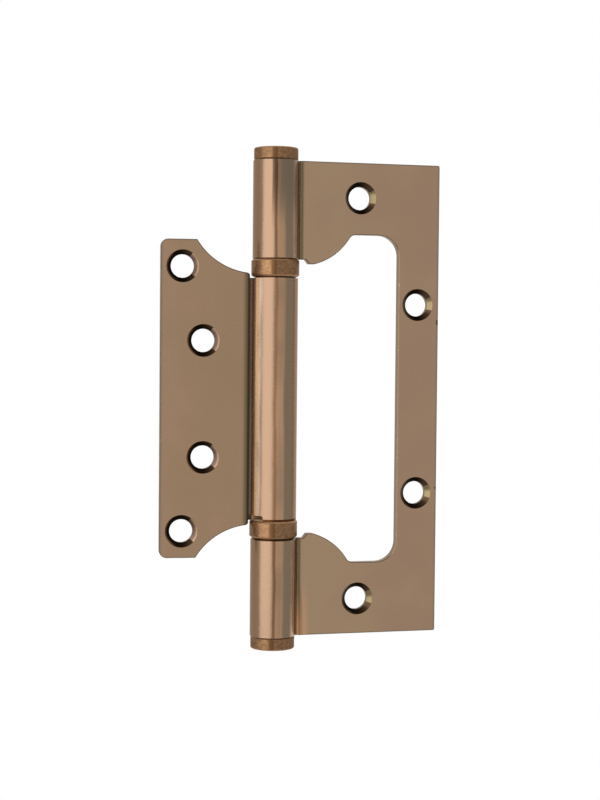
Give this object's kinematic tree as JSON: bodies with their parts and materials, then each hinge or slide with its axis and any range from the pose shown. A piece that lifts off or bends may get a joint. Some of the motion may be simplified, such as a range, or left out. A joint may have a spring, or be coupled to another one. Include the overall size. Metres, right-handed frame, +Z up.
{
  "type": "flush hinge",
  "caption": "Flush door hinge whose small leaf folds into the window of the large leaf, with a rolled barrel, ball bearing collars, flat end caps and countersunk screw holes.",
  "frame": {"origin": "on the pin axis, half way up the barrel", "axes": "+Z up the pin, +X from the pin out along the large leaf, +Y towards the backs of the leaves, so the countersunk faces look towards -Y"},
  "size_m": [0.075, 0.0126, 0.1314],
  "materials": {
    "frame_leaf": "satin antique copper plating, dark along the sheared edges",
    "door_leaf": "satin antique copper plating, dark along the sheared edges",
    "cap": "mottled antique copper plating",
    "bearing_shell": "mottled antique copper plating",
    "bearing_race": "bare hardened steel",
    "ball": "polished steel",
    "pin": "bare drawn steel"
  },
  "bodies": {
    "frame_side": {"frame_leaf": "frame_leaf", "hinge_pin": "pin", "top_cap": "cap", "bottom_cap": "cap", "upper_bearing_shell": "bearing_shell", "lower_bearing_race": "bearing_race"},
    "door_side": {"door_leaf": "door_leaf", "upper_bearing_race": "bearing_race", "lower_bearing_shell": "bearing_shell"},
    "upper_ball_ring": {"upper_ball_01": "ball", "upper_ball_02": "ball", "upper_ball_03": "ball", "upper_ball_04": "ball", "upper_ball_05": "ball", "upper_ball_06": "ball", "upper_ball_07": "ball", "upper_ball_08": "ball", "upper_ball_09": "ball", "upper_ball_10": "ball", "upper_ball_11": "ball", "upper_ball_12": "ball", "upper_ball_13": "ball", "upper_ball_14": "ball", "upper_ball_15": "ball", "upper_ball_16": "ball", "upper_ball_17": "ball"},
    "lower_ball_ring": {"lower_ball_01": "ball", "lower_ball_02": "ball", "lower_ball_03": "ball", "lower_ball_04": "ball", "lower_ball_05": "ball", "lower_ball_06": "ball", "lower_ball_07": "ball", "lower_ball_08": "ball", "lower_ball_09": "ball", "lower_ball_10": "ball", "lower_ball_11": "ball", "lower_ball_12": "ball", "lower_ball_13": "ball", "lower_ball_14": "ball", "lower_ball_15": "ball", "lower_ball_16": "ball", "lower_ball_17": "ball"}
  },
  "joints": [
    {"name": "leaf_swing", "type": "hinge", "parent": "frame_side", "child": "door_side", "pos_m": [0, 0, 0], "axis": [0, 0, 1], "range_deg": [-84, 186]},
    {"name": "upper_balls_orbit", "type": "hinge", "parent": "frame_side", "child": "upper_ball_ring", "pos_m": [0, 0, 0.0342], "axis": [0, 0, 1], "range_deg": [-42, 93]},
    {"name": "lower_balls_orbit", "type": "hinge", "parent": "frame_side", "child": "lower_ball_ring", "pos_m": [0, 0, -0.0342], "axis": [0, 0, 1], "range_deg": [-42, 93]}
  ],
  "couplings": [
    {"joint": "upper_balls_orbit", "follows": "leaf_swing", "ratio": 0.5},
    {"joint": "lower_balls_orbit", "follows": "leaf_swing", "ratio": 0.5}
  ]
}
